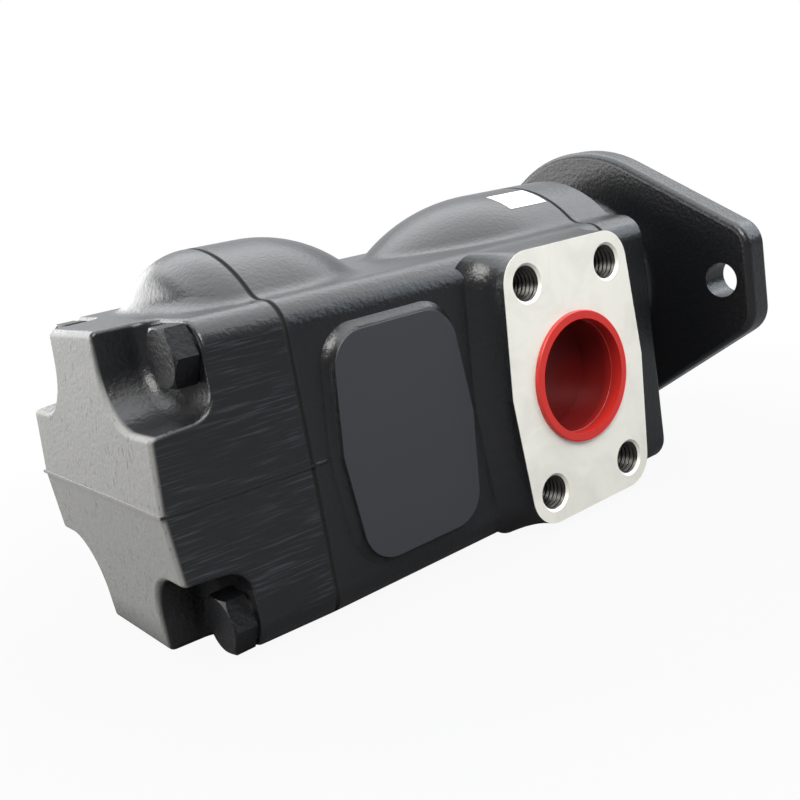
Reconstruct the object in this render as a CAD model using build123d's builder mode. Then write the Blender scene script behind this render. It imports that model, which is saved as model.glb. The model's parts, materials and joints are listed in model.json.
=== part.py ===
from build123d import *
from math import cos, pi, radians, sin, sqrt, tan
import os

# Tandem (two-cartridge) hydraulic vane pump, millimetres.
# Origin: centre of the mounting pilot, in the plane of the mounting face, on the shaft axis.
# +X runs out along the shaft, +Z is up, the inlet port looks towards -Y.

os.makedirs("parts", exist_ok=True)

# ---- Castings: block section -------------------------------------------------------------
barrel_wall = 12.4             # cast wall round each cartridge's bore
block_side = 3.5               # the block's sides stand this far outside the barrels
block_half_height = 52.5       # top and bottom, from the parting plane
axis_above_parting = 20.0      # the shaft axis is raised over the mould's parting plane
shoulder_radius = 10.0         # long edges of the block
face_draft = 4.0               # degrees, mould draft of the rear face
edge_round = 1.6               # broken casting edges
joint_chamfer = 0.5            # broken edges of the machined joints
front_barrel_end = 85.0        # rounding of each barrel where it runs down to the block's top
rear_barrel_end = 50.0
barrel_top_land = 1.8          # foot fillet, over the flat land left beside a barrel
barrel_foot_fillet = 10.0
barrel_sink = 6.5              # how far each barrel's end runs on into the block

# ---- Castings: lengths along the shaft ------------------------------------------------------
flange_thickness = 13.0
neck_length = 22.0
cap_block_length = 23.0
housing_length = 150.5
end_cap_length = 50.0
front_barrel_crest = 21.0      # straight crest, from the front joint
rear_barrel_crest = 19.5       # straight crest, from the rear joint
end_barrel_crest = 0.8
end_barrel_end = 19.0          # rounding of the end cap's dome
end_cap_taper = 3.0            # each side draws in towards the rear face
end_cap_round = 2.4            # edges of the rear face
parting_ridge = 0.35           # cast ridge left along the mould's parting plane
ridge_width = 0.9

# ---- Mounting flange: two-bolt, 146 mm pattern ------------------------------------------------
bolt_span = 146.05
mounting_hole = 14.3
flange_radius = 60.0
ear_wall = 6.2                 # metal outside each mounting hole
ear_angle = 30.0
ear_corner = 12.0
flange_edge_round = 2.8
pilot_diameter = 101.6
pilot_height = 9.5
pilot_chamfer = 1.2
neck_radius = 37.0
neck_fillet = 4.0

# ---- Inlet port: 2 in four-bolt pattern --------------------------------------------------------
inlet_from_joint = 36.3        # port's middle, behind the front joint
inlet_stand = 10.8             # face, outside the block's side
inlet_width = 72.0
inlet_margin = 2.0             # face, short of the block's top and bottom
inlet_corner = 12.0
inlet_draft = 4.5
inlet_flank = 13.0             # how far the boss spreads towards the rear at its foot
inlet_sink = 2.0               # how deep its foot runs into the block
inlet_rise = 0.25              # spread of its top and bottom, over the spread to the rear
inlet_bore = 46.0
inlet_span = (42.9, 77.8)      # along X, along Z
inlet_thread = 12.7
inlet_thread_depth = 16.0
thread_chamfer = 0.9

# ---- Blank side pad and the two outlet pads ---------------------------------------------------
pad_from_joint = 37.3          # middle, in front of the rear joint
pad_stand = 4.0
pad_width = 55.6
pad_height = 76.5
pad_corner = 12.0
pad_draft = 5.5
pad_flank = 3.9                # how far a pad spreads all round at its foot
pad_sink = 0.5
outlet_flank = 2.0
curve_place = 0.4              # where a pad's hollow flank turns, from foot to face
curve_spread = 0.32            # how much of its spread is left there
outlet_from_joint = 52.0       # first outlet's middle, behind the front joint
outlet_stand = 8.0
outlet_bore = 25.4
outlet_span = (26.2, 52.4)
outlet_thread = 10.0
outlet_thread_depth = 16.0

# ---- Through bolts -----------------------------------------------------------------------------
bolt_from_side = 13.0
bolt_from_top = 10.0
bolt_diameter = 12.0
bolt_clearance = 0.5
bolt_head_flats = 18.0
bolt_head_height = 7.5
bolt_crown = 0.98              # turned end face, as a share of the flats
bolt_crown_slope = 30.0        # degrees
bolt_thread_length = 18.0
bolt_face_diameter = 18.0
bolt_face_height = 0.6
pocket_depth = 22.5
upper_tongue = 20.8            # half width of the rear face between the two upper pockets
lower_tongue = 24.6
pocket_inner_z = 24.5          # from the parting plane
pocket_corner = 17.0
pocket_flare = 5.0
pocket_floor_fillet = 8.0
pocket_edge_round = 1.6

# ---- Cartridges ----------------------------------------------------------------------------------
cartridge_radius = 38.0
cartridge_clearance = 0.1
side_plate_thickness = 8.0
cam_ring_width = 22.0
pressure_plate_thickness = 12.0
spigot_length = 5.0
cam_wall = 11.5                # thickest part of the cam ring, at its minor radius
cam_stroke = 3.0
cam_points = 36
rotor_gap = 0.15               # between the rotor and the cam's minor radius
rotor_web = 2.4                # metal between a slot's root and the spline
rotor_side_gap = 0.04
vane_count = 10
vane_thickness = 2.4
vane_gap = 0.03
slot_root_radius = 1.9
kidney_width = 5.0
kidney_sweep = 34.0
kidney_count = 4
kidney_start = 45.0            # degrees, middle of the first kidney port
plate_bore_gap = 1.0
gallery_width = 24.0           # cast oil passage under the cartridges
gallery_height = 14.0
gallery_overlap = 8.0          # how far it reaches under each cartridge
dowel_radius = 2.0
dowel_margin = 5.0             # dowels' and screws' centres, inside the cartridge's rim
screw_radius = 2.5

# ---- Seal rings -------------------------------------------------------------------------------------
ring_width = 2.6
ring_depth = 2.2
ring_gap = 0.02

# ---- Shaft, bearings and shaft seal -----------------------------------------------------------------
shaft_end_diameter = 22.225
shaft_end = 41.3               # beyond the mounting face
seal_land_radius = 12.7
bearing_bore = 30.0
bearing_outside = 62.0
bearing_width = 16.0
bearing_front = -34.0          # face of the bearing's shoulder in the mounting cap
ball_radius = 4.7625
ball_count = 9
ball_gap = 0.03
race_chamfer = 0.8
race_relief = 2.5              # clears the turning inner race from the cap's shoulder
race_share = 0.5                # how near each race comes to the pitch circle
cage_thickness = 3.0
cage_width = 12.0
shaft_shoulder_radius = 17.5
shaft_shoulder_width = 3.0
spline_teeth = 12
spline_root_radius = 11.0
spline_tip_radius = 12.5
spline_tooth_width = 3.2
spline_gap = 0.05
journal_radius = 10.0
journal_gap = 0.04
bush_radius = 13.0
bush_length = 18.0
shaft_chamfer = 1.5
key_size = 6.35
key_length = 25.0
key_depth = 3.6                # seated depth in the shaft
seal_radius = 21.0
seal_width = 8.0
seal_recess = 1.5              # front of the seal below the pilot's face
seal_case = 1.2                # thickness of the seal's case
seal_lip_place = 0.6           # the lip's sealing edge, as a share of the seal's width
seal_lip_width = 0.15          # the land it runs on, as a share of the seal's width
seal_lip_end = 0.9             # the lip's inner end, as a share of the seal's width
lip_gap = 0.03
circlip_thickness = 2.0
circlip_depth = 2.0
circlip_opening = 36.0

# ---- Shipping plugs -----------------------------------------------------------------------------------
plug_wall = 1.6
plug_gap = 0.05
plug_rim_width = 1.6
plug_rim_height = 1.6
inlet_plug_depth = 20.0
outlet_plug_depth = 13.0
plug_edge_round = 0.6

# ---- Derived places ---------------------------------------------------------------------------------------
bore_radius = cartridge_radius + cartridge_clearance
cam_minor_radius = cartridge_radius - cam_wall
rotor_radius = cam_minor_radius - rotor_gap
slot_root = spline_tip_radius + rotor_web + slot_root_radius
vane_height = rotor_radius - slot_root - slot_root_radius / 2
kidney_radius = cam_minor_radius + cam_stroke / 2
dowel_circle = cartridge_radius - dowel_margin
barrel_radius = bore_radius + barrel_wall
block_half_width = barrel_radius + block_side
parting_z = -axis_above_parting
top_z = parting_z + block_half_height
barrel_low_radius = top_z - barrel_sink
barrel_rise = barrel_radius - top_z
front_barrel_run = sqrt(front_barrel_end**2 - (front_barrel_end - barrel_rise) ** 2)
rear_barrel_run = sqrt(rear_barrel_end**2 - (rear_barrel_end - barrel_rise) ** 2)
valley = housing_length - front_barrel_crest - front_barrel_run - rear_barrel_crest - rear_barrel_run
top_land = block_half_width - shoulder_radius - sqrt(barrel_radius**2 - top_z**2)
barrel_foot = min(barrel_foot_fillet, valley, barrel_top_land * top_land)
flange_reach = bolt_span / 2 + mounting_hole / 2 + ear_wall
bolt_y = block_half_width - bolt_from_side
bolt_z = block_half_height - bolt_from_top
inlet_face = block_half_width + inlet_stand
inlet_height = 2 * (block_half_height - inlet_margin)
pad_face = block_half_width + pad_stand
outlet_face = block_half_width + outlet_stand
x_flange_rear = -flange_thickness
x_cap_block = x_flange_rear - neck_length
x_front_joint = x_cap_block - cap_block_length
x_rear_joint = x_front_joint - housing_length
x_rear_face = x_rear_joint - end_cap_length
x_seat = x_rear_face + pocket_depth
inlet_x = x_front_joint - inlet_from_joint
pad_x = x_rear_joint + pad_from_joint
outlet_x = (x_front_joint - outlet_from_joint, pad_x)
cartridge_bore_depth = (
    spigot_length + pressure_plate_thickness + cam_ring_width + side_plate_thickness
)
bolt_hole_radius = bolt_diameter / 2 + bolt_clearance
x_front_web = x_front_joint - cartridge_bore_depth
x_rear_web = x_rear_joint + cartridge_bore_depth
x_bush = x_rear_joint - 5.0      # inner end of the rear bush
x_shaft_rear = x_bush - bush_length - 1.0
x_bearing_rear = bearing_front - bearing_width
x_balls = bearing_front - bearing_width / 2
pitch_radius = (bearing_outside + bearing_bore) / 4
race_step = (bearing_outside - bearing_bore) / 4
x_front_cam = x_front_web + side_plate_thickness
x_rear_cam = x_rear_web - side_plate_thickness - cam_ring_width
x_key = shaft_end - shaft_chamfer - 1.0 - key_length / 2


def finish(builder, label):
    """Label a finished piece and write its STEP file."""
    builder.part.label = label
    export_step(builder.part, f"parts/{label}.step")


def near_plane(distance):
    """Plane facing -Y at a distance from the shaft axis; local x is X, local y is Z."""
    return Plane.XZ.offset(distance)


def far_plane(distance):
    """Plane facing +Y; local x is -X, local y is Z."""
    return Plane(origin=(0, distance, 0), x_dir=(-1, 0, 0), z_dir=(0, 1, 0))


def drafted_outline(centre_x, width, height, draft, corner):
    """Face kinked at the parting plane, with its sides drawn in by the mould's draft."""
    half, rise = width / 2, height / 2
    pull = rise * tan(radians(draft))
    with BuildSketch(Plane.XY) as outline:
        with BuildLine():
            Polyline(
                (centre_x - half, parting_z),
                (centre_x - half + pull, parting_z + rise),
                (centre_x + half - pull, parting_z + rise),
                (centre_x + half, parting_z),
                (centre_x + half - pull, parting_z - rise),
                (centre_x - half + pull, parting_z - rise),
                close=True,
            )
        make_face()
        corners = [v for v in outline.vertices() if abs(v.Y - parting_z) > rise / 2]
        fillet(corners, corner)
    return outline.sketch


def foot_curve(face, sink, flank):
    """Distances and spreads of a pad's sections, from its foot inside the block to its face."""
    foot = block_half_width - sink
    return ((foot, flank), (foot + (face - foot) * curve_place, flank * curve_spread), (face, 0))


def block_section():
    """Rounded rectangle of the block, on the current YZ sketch plane."""
    with Locations((0, parting_z)):
        RectangleRounded(2 * block_half_width, 2 * block_half_height, shoulder_radius)


def barrel_profile(x_joint, crest, end_radius):
    """Half profile of a barrel: straight crest from the joint, then an arc down into the block."""
    turn = 1 if crest > 0 else -1
    drop = min(barrel_radius - barrel_low_radius, end_radius)
    run = sqrt(end_radius**2 - (end_radius - drop) ** 2)
    x_end = x_joint + crest + turn * run
    low = barrel_radius - drop
    with BuildSketch(Plane.XZ) as profile:
        with BuildLine():
            Line((x_joint, 0), (x_joint, barrel_radius))
            Line((x_joint, barrel_radius), (x_joint + crest, barrel_radius))
            RadiusArc((x_joint + crest, barrel_radius), (x_end, low), turn * end_radius)
            Line((x_end, low), (x_end, 0))
            Line((x_end, 0), (x_joint, 0))
        make_face()
    return profile.sketch


def foot_edges(part):
    """Edges where the barrels stand on the block's flat top."""
    inner = block_half_width - shoulder_radius - 0.5
    found = []
    for edge in part.edges():
        box = edge.bounding_box()
        on_top = abs(box.min.Z - top_z) < 0.01 and abs(box.max.Z - top_z) < 0.01
        if on_top and abs(edge.center().Y) < inner and box.size.X > 1:
            found.append(edge)
    return found


def bolt_spots():
    """Centres of the four through bolts, on a YZ sketch plane."""
    return [(y, parting_z + z) for y in (-bolt_y, bolt_y) for z in (-bolt_z, bolt_z)]


def corner_pocket(side, level):
    """Solid that cuts one bolt pocket: a flared block with a rounded inner corner and floor."""
    reach = 2 * block_half_height
    inner_y = upper_tongue if level > 0 else lower_tongue
    centre = (side * (inner_y + reach / 2), parting_z + level * (pocket_inner_z + reach / 2))
    seat_plane = Plane(origin=(x_seat, 0, 0), x_dir=(0, -1, 0), z_dir=(-1, 0, 0))
    with BuildPart() as tool:
        with BuildSketch(seat_plane) as outline:
            with Locations((-centre[0], centre[1])):
                Rectangle(reach, reach)
            fillet(outline.vertices().sort_by_distance((0, parting_z))[0], pocket_corner)
        extrude(amount=2 * pocket_depth, taper=-pocket_flare)
        floor = tool.faces().sort_by(Axis.X)[-1]
        inner = [e for e in floor.edges() if abs(e.center().Y) < abs(centre[0]) + 1
                 and abs(e.center().Z - parting_z) < abs(centre[1] - parting_z) + 1]
        fillet(inner, pocket_floor_fillet)
    return tool.part


def spline_profile(gap, mode=Mode.ADD):
    """Straight-sided spline section on the current sketch; gap opens it for a bore."""
    Circle(spline_root_radius + gap, mode=mode)
    with PolarLocations(0, spline_teeth):
        with Locations((spline_tip_radius / 2, 0)):
            Rectangle(spline_tip_radius + 2 * gap, spline_tooth_width + 2 * gap, mode=mode)


def on_parting(edge):
    """Whether an edge lies in the mould's parting plane."""
    return abs(edge.bounding_box().min.Z - parting_z) + abs(edge.bounding_box().max.Z - parting_z) < 0.01


def end_cap_plan(margin):
    """Plan of the end cap, its sides drawn in towards the rear face; margin widens it."""
    wide = block_half_width + margin
    narrow = wide - end_cap_taper
    with BuildSketch(Plane.XY) as plan:
        with BuildLine():
            Polyline((x_rear_joint, -wide), (x_rear_joint, wide), (x_rear_face - margin, narrow),
                     (x_rear_face - margin, -narrow), close=True)
        make_face()
    return plan.sketch


def chamfer_joint(builder, x):
    """Break the outer edge of a machined joint face."""
    rim = [e for e in builder.edges()
           if e.bounding_box().size.X < 0.01 and abs(e.center().X - x) < 0.01]
    chamfer(rim, joint_chamfer)


# ================================ Housing ================================
with BuildPart() as housing:
    with BuildSketch(Plane.YZ.offset(x_rear_joint)):
        block_section()
    extrude(amount=housing_length)
    revolve(barrel_profile(x_front_joint, -front_barrel_crest, front_barrel_end), axis=Axis.X)
    revolve(barrel_profile(x_rear_joint, rear_barrel_crest, rear_barrel_end), axis=Axis.X)
    fillet(foot_edges(housing), barrel_foot)
    for x in (x_front_joint, x_rear_joint):
        chamfer_joint(housing, x)

    # Inlet boss, spreading to the rear at its foot
    for distance, spread in foot_curve(inlet_face, inlet_sink, inlet_flank):
        with BuildSketch(near_plane(distance)):
            add(drafted_outline(inlet_x - spread / 2, inlet_width + spread,
                                inlet_height + spread * inlet_rise, inlet_draft, inlet_corner))
    loft()

    # Blank pad on the inlet's side
    for distance, spread in foot_curve(pad_face, pad_sink, pad_flank):
        with BuildSketch(near_plane(distance)):
            add(drafted_outline(pad_x, pad_width + 2 * spread, pad_height + 2 * spread,
                                pad_draft, pad_corner + spread / 2))
    loft()

    # Outlet pads on the far side
    for x in outlet_x:
        for distance, spread in foot_curve(outlet_face, pad_sink, outlet_flank):
            with BuildSketch(far_plane(distance)):
                add(drafted_outline(-x, pad_width + 2 * spread, pad_height + 2 * spread,
                                    pad_draft, pad_corner + spread / 2))
        loft()

    # Ridge left along the mould's parting plane
    with BuildSketch(Plane.XY.offset(parting_z - ridge_width / 2)):
        with Locations(((x_front_joint + x_rear_joint) / 2, 0)):
            Rectangle(housing_length, 2 * (block_half_width + parting_ridge))
    extrude(amount=ridge_width)

    # Nothing reaches past the two machined joint faces
    for x, way in ((x_front_joint, 1), (x_rear_joint, -1)):
        with BuildSketch(Plane.YZ.offset(x)):
            Rectangle(4 * block_half_width, 4 * block_half_height)
        extrude(amount=way * pad_width, mode=Mode.SUBTRACT)

    # Cartridge bores and the web's shaft hole
    for x, way in ((x_front_joint, -1), (x_rear_joint, 1)):
        with BuildSketch(Plane.YZ.offset(x)):
            Circle(bore_radius)
        extrude(amount=way * cartridge_bore_depth, mode=Mode.SUBTRACT)
    with BuildSketch(Plane.YZ.offset(x_rear_joint)):
        Circle(spline_tip_radius + plate_bore_gap)
        with Locations(*bolt_spots()):
            Circle(bolt_hole_radius)
    extrude(amount=housing_length, mode=Mode.SUBTRACT)

    # Oil gallery from the inlet to both cartridges, under the shaft
    with BuildSketch(Plane.YZ.offset(x_front_web + gallery_overlap)):
        with Locations((0, -bore_radius - gallery_height / 2 + shoulder_radius / 2)):
            RectangleRounded(gallery_width, gallery_height + shoulder_radius, gallery_height / 3)
    extrude(amount=x_rear_web - x_front_web - 2 * gallery_overlap, mode=Mode.SUBTRACT)

    # Inlet port and its threaded holes
    with BuildSketch(near_plane(inlet_face)):
        with Locations((inlet_x, parting_z)):
            Circle(inlet_bore / 2)
    extrude(amount=-inlet_face, mode=Mode.SUBTRACT)
    with Locations(near_plane(inlet_face)):
        with Locations((inlet_x, parting_z)):
            with GridLocations(*inlet_span, 2, 2):
                CounterSinkHole(inlet_thread / 2, inlet_thread / 2 + thread_chamfer,
                                depth=inlet_thread_depth, counter_sink_angle=90)

    # Outlet ports and their threaded holes
    for x in outlet_x:
        with BuildSketch(far_plane(outlet_face)):
            with Locations((-x, parting_z)):
                Circle(outlet_bore / 2)
        extrude(amount=-(outlet_face - cartridge_radius / 2), mode=Mode.SUBTRACT)
        with Locations(far_plane(outlet_face)):
            with Locations((-x, parting_z)):
                with GridLocations(*outlet_span, 2, 2):
                    CounterSinkHole(outlet_thread / 2, outlet_thread / 2 + thread_chamfer,
                                    depth=outlet_thread_depth, counter_sink_angle=90)
finish(housing, "housing")

# ================================ End cap ================================
rear_pull = block_half_height * tan(radians(face_draft))
with BuildPart() as end_cap:
    # Side view, with the rear face kinked at the parting plane
    with BuildSketch(Plane.XZ):
        with BuildLine():
            Polyline(
                (x_rear_joint, parting_z + block_half_height),
                (x_rear_face + rear_pull, parting_z + block_half_height),
                (x_rear_face, parting_z),
                (x_rear_face + rear_pull, parting_z - block_half_height),
                (x_rear_joint, parting_z - block_half_height),
                close=True,
            )
        make_face()
    extrude(amount=block_half_width, both=True)

    # Plan view, with the sides drawn in towards the rear
    with BuildSketch(Plane.XY.offset(parting_z)):
        add(end_cap_plan(0))
    extrude(amount=2 * block_half_height, both=True, mode=Mode.INTERSECT)
    fillet([e for e in end_cap.edges() if e.bounding_box().size.X > end_cap_length / 2],
           shoulder_radius)
    fillet([e for f in end_cap.faces() if abs(f.center().X - x_rear_face) < rear_pull
            for e in f.edges() if not on_parting(e)], end_cap_round)

    # Domed end of the rear barrel
    revolve(barrel_profile(x_rear_joint, -end_barrel_crest, end_barrel_end), axis=Axis.X)
    fillet(foot_edges(end_cap), barrel_foot)
    chamfer_joint(end_cap, x_rear_joint)

    # Corner pockets for the bolt heads, flared towards the rear
    for side in (-1, 1):
        for level in (-1, 1):
            add(corner_pocket(side, level), mode=Mode.SUBTRACT)
    mouths = [e for f in end_cap.faces() if abs(f.center().X - x_rear_face) < rear_pull
              for e in f.edges()
              if abs(e.center().Y) > upper_tongue - 1 and abs(e.center().Z - parting_z) > pocket_inner_z - 6]
    fillet(mouths, pocket_edge_round)

    # Ridge left along the mould's parting plane
    with BuildSketch(Plane.XY.offset(parting_z - ridge_width / 2)):
        add(end_cap_plan(parting_ridge))
    extrude(amount=ridge_width)

    # Spigot with its seal groove, bush bore and clearance holes for the bolts
    with BuildSketch(Plane.YZ.offset(x_rear_joint)):
        Circle(cartridge_radius)
    extrude(amount=spigot_length)
    with BuildSketch(Plane.YZ.offset(x_rear_joint + spigot_length / 2 - ring_width / 2)):
        Circle(cartridge_radius)
        Circle(cartridge_radius - ring_depth, mode=Mode.SUBTRACT)
    extrude(amount=ring_width, mode=Mode.SUBTRACT)
    with BuildSketch(Plane.YZ.offset(x_rear_joint + spigot_length)):
        Circle(bush_radius)
    extrude(amount=x_shaft_rear - 1 - x_rear_joint - spigot_length, mode=Mode.SUBTRACT)
    with BuildSketch(Plane.YZ.offset(x_rear_joint)):
        with Locations(*bolt_spots()):
            Circle(bolt_hole_radius)
    extrude(amount=x_seat - x_rear_joint, mode=Mode.SUBTRACT)
finish(end_cap, "end_cap")

# ================================ Mounting cap ================================
with BuildPart() as mounting_cap:
    # Block and barrel, as the housing's section at the front joint
    with BuildSketch(Plane.YZ.offset(x_front_joint)):
        block_section()
        Circle(barrel_radius)
    extrude(amount=cap_block_length)
    corners = [e for e in mounting_cap.edges().filter_by(Axis.X)
               if abs(e.center().Z - top_z) < 0.01 and abs(e.center().Y) < block_half_width - shoulder_radius]
    fillet(corners, barrel_foot)
    fillet(mounting_cap.faces().sort_by(Axis.X)[-1].edges(), edge_round)
    chamfer_joint(mounting_cap, x_front_joint)

    # Neck, flange and pilot
    with BuildSketch(Plane.YZ.offset(x_cap_block)):
        Circle(neck_radius)
    extrude(amount=neck_length + 1)
    with BuildSketch(Plane.YZ.offset(x_flange_rear)) as flange:
        ear_slope = radians(ear_angle)
        shoulder_y = flange_radius * sin(ear_slope)
        shoulder_z = flange_radius * cos(ear_slope)
        tip_z = (flange_radius - flange_reach * sin(ear_slope)) / cos(ear_slope)
        with BuildLine():
            Polyline(
                (shoulder_y, shoulder_z), (flange_reach, tip_z), (flange_reach, -tip_z),
                (shoulder_y, -shoulder_z), (-shoulder_y, -shoulder_z), (-flange_reach, -tip_z),
                (-flange_reach, tip_z), (-shoulder_y, shoulder_z),
                close=True,
            )
        make_face()
        Circle(flange_radius)
        fillet([v for v in flange.vertices() if abs(v.X) > bolt_span / 2], ear_corner)
    extrude(amount=flange_thickness)
    rim = [e for e in mounting_cap.edges()
           if min(abs(e.center().X), abs(e.center().X - x_flange_rear)) < 0.01
           and e.bounding_box().size.X < 0.01
           and max(abs(e.bounding_box().max.Y), abs(e.bounding_box().max.Z)) > neck_radius + 1]
    fillet(rim, flange_edge_round)
    fillet(mounting_cap.edges().filter_by(GeomType.CIRCLE).filter_by(
        lambda e: abs(e.radius - neck_radius) < 0.01 and abs(e.center().X - x_flange_rear) < 0.01),
        neck_fillet)
    with BuildSketch(Plane.YZ):
        Circle(pilot_diameter / 2)
    extrude(amount=pilot_height)
    chamfer(mounting_cap.faces().sort_by(Axis.X)[-1].edges(), pilot_chamfer)

    # Spigot that enters the housing, with its seal groove
    with BuildSketch(Plane.YZ.offset(x_front_joint)):
        Circle(cartridge_radius)
    extrude(amount=-spigot_length)
    with BuildSketch(Plane.YZ.offset(x_front_joint - spigot_length / 2 - ring_width / 2)):
        Circle(cartridge_radius)
        Circle(cartridge_radius - ring_depth, mode=Mode.SUBTRACT)
    extrude(amount=ring_width, mode=Mode.SUBTRACT)

    # Bearing bore with its circlip groove, shaft hole and seal bore
    with BuildSketch(Plane.YZ.offset(bearing_front)):
        Circle(bearing_outside / 2)
    extrude(amount=x_front_joint - spigot_length - bearing_front, mode=Mode.SUBTRACT)
    with BuildSketch(Plane.YZ.offset(x_bearing_rear)):
        Circle(bearing_outside / 2 + circlip_depth)
    extrude(amount=-circlip_thickness, mode=Mode.SUBTRACT)
    with BuildSketch(Plane.YZ.offset(bearing_front)):
        Circle(pitch_radius)
    extrude(amount=race_relief, mode=Mode.SUBTRACT)
    with BuildSketch(Plane.YZ.offset(bearing_front)):
        Circle(shaft_shoulder_radius + plate_bore_gap)
    extrude(amount=pilot_height - bearing_front, mode=Mode.SUBTRACT)
    with BuildSketch(Plane.YZ.offset(pilot_height)):
        Circle(seal_radius)
    extrude(amount=-seal_recess - seal_width, mode=Mode.SUBTRACT)

    # Mounting holes and the threaded holes for the through bolts
    with BuildSketch(Plane.YZ):
        with Locations((-bolt_span / 2, 0), (bolt_span / 2, 0)):
            Circle(mounting_hole / 2)
    extrude(amount=-flange_thickness, mode=Mode.SUBTRACT)
    with BuildSketch(Plane.YZ.offset(x_front_joint)):
        with Locations(*bolt_spots()):
            Circle(bolt_diameter / 2)
    extrude(amount=bolt_thread_length, mode=Mode.SUBTRACT)
finish(mounting_cap, "mounting_cap")

# ================================ Through bolts ================================
with BuildPart() as through_bolts:
    with BuildSketch(Plane.YZ.offset(x_seat)):
        with Locations(*bolt_spots()):
            Circle(bolt_diameter / 2)
    extrude(amount=x_front_joint + bolt_thread_length - 1 - x_seat)
    with BuildSketch(Plane.YZ.offset(x_seat)):
        with Locations(*bolt_spots()):
            Circle(bolt_face_diameter / 2)
    extrude(amount=-bolt_face_height)
    with BuildSketch(Plane.YZ.offset(x_seat - bolt_face_height)):
        with Locations(*bolt_spots()):
            RegularPolygon(bolt_head_flats / 2, 6, major_radius=False)
    extrude(amount=-bolt_head_height)
    # Turned crown: the head's corners are cut by a cone
    x_top = x_seat - bolt_face_height - bolt_head_height
    crown = bolt_head_flats / 2 * bolt_crown
    past_corners = bolt_head_flats - crown
    for y, z in bolt_spots():
        with BuildSketch(Plane.XZ.offset(-y)):
            with BuildLine():
                Polyline((x_top, z + crown), (x_top, z + crown + past_corners),
                         (x_top + past_corners * tan(radians(bolt_crown_slope)), z + crown + past_corners),
                         close=True)
            make_face()
        revolve(axis=Axis((0, y, z), (1, 0, 0)), mode=Mode.SUBTRACT)
finish(through_bolts, "through_bolts")

# ================================ Shaft ================================
with BuildPart() as shaft:
    out_radius = shaft_end_diameter / 2
    with BuildSketch(Plane.XZ):
        with BuildLine():
            Polyline(
                (x_shaft_rear, 0),
                (x_shaft_rear, journal_radius - shaft_chamfer),
                (x_shaft_rear + shaft_chamfer, journal_radius),
                (x_rear_joint, journal_radius),
                (x_rear_joint, spline_root_radius),
                (x_bearing_rear - circlip_thickness * 2, spline_root_radius),
                (x_bearing_rear - circlip_thickness * 2, bearing_bore / 2),
                (x_bearing_rear - circlip_thickness, bearing_bore / 2),
                (x_bearing_rear - circlip_thickness, bearing_bore / 2 - circlip_depth / 2),
                (x_bearing_rear, bearing_bore / 2 - circlip_depth / 2),
                (x_bearing_rear, bearing_bore / 2),
                (bearing_front, bearing_bore / 2),
                (bearing_front, shaft_shoulder_radius),
                (bearing_front + shaft_shoulder_width, shaft_shoulder_radius),
                (bearing_front + shaft_shoulder_width, seal_land_radius),
                (pilot_height, seal_land_radius),
                (pilot_height, out_radius),
                (shaft_end - shaft_chamfer, out_radius),
                (shaft_end, out_radius - shaft_chamfer),
                (shaft_end, 0),
                close=True,
            )
        make_face()
    revolve(axis=Axis.X)
    # Two splined stretches that drive the rotors
    for x_low in (x_front_cam, x_rear_cam):
        with BuildSketch(Plane.YZ.offset(x_low)):
            spline_profile(0)
        extrude(amount=cam_ring_width)
    # Keyway, a closed pocket with round ends
    with BuildSketch(Plane.XY.offset(out_radius - key_depth)):
        with Locations((x_key, 0)):
            SlotOverall(key_length, key_size)
    extrude(amount=key_depth + 1, mode=Mode.SUBTRACT)
finish(shaft, "shaft")

with BuildPart() as shaft_key:
    with BuildSketch(Plane.XY.offset(out_radius - key_depth)):
        with Locations((x_key, 0)):
            SlotOverall(key_length, key_size)
    extrude(amount=key_size)
finish(shaft_key, "shaft_key")

# ================================ Ball bearing ================================
ball_spots = [(pitch_radius * cos(2 * pi * n / ball_count), pitch_radius * sin(2 * pi * n / ball_count))
              for n in range(ball_count)]


def race(low, high, label):
    """One bearing race between two radii, with the balls' running groove."""
    with BuildPart() as ring:
        with BuildSketch(Plane.XZ):
            with Locations((x_balls, (low + high) / 2)):
                Rectangle(bearing_width, high - low)
            with Locations((x_balls, pitch_radius)):
                Circle(ball_radius + ball_gap, mode=Mode.SUBTRACT)
        revolve(axis=Axis.X)
        ends = [e for e in ring.edges().filter_by(GeomType.CIRCLE)
                if abs(abs(e.center().X - x_balls) - bearing_width / 2) < 0.01]
        chamfer(ends, race_chamfer)
    finish(ring, label)


race(bearing_bore / 2, pitch_radius - race_step * race_share, "bearing_inner_race")
race(pitch_radius + race_step * race_share, bearing_outside / 2, "bearing_outer_race")

with BuildPart() as bearing_balls:
    with Locations(*[(x_balls, y, z) for y, z in ball_spots]):
        Sphere(ball_radius)
finish(bearing_balls, "bearing_balls")

with BuildPart() as bearing_cage:
    with BuildSketch(Plane.YZ.offset(x_balls - cage_width / 2)):
        Circle(pitch_radius + cage_thickness / 2)
        Circle(pitch_radius - cage_thickness / 2, mode=Mode.SUBTRACT)
    extrude(amount=cage_width)
    with Locations(*[(x_balls, y, z) for y, z in ball_spots]):
        Sphere(ball_radius + ball_gap, mode=Mode.SUBTRACT)
finish(bearing_cage, "bearing_cage")


def circlip(x_low, inner, outer, label):
    """Flat open retaining ring between two radii."""
    with BuildPart() as ring:
        with BuildSketch(Plane.YZ.offset(x_low)):
            Circle(outer)
            Circle(inner, mode=Mode.SUBTRACT)
            with BuildLine():
                gap = radians(circlip_opening / 2)
                far = 2 * outer
                Polyline((0, 0), (far * sin(gap), far * cos(gap)), (-far * sin(gap), far * cos(gap)),
                         close=True)
            make_face(mode=Mode.SUBTRACT)
        extrude(amount=circlip_thickness)
    finish(ring, label)


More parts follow.
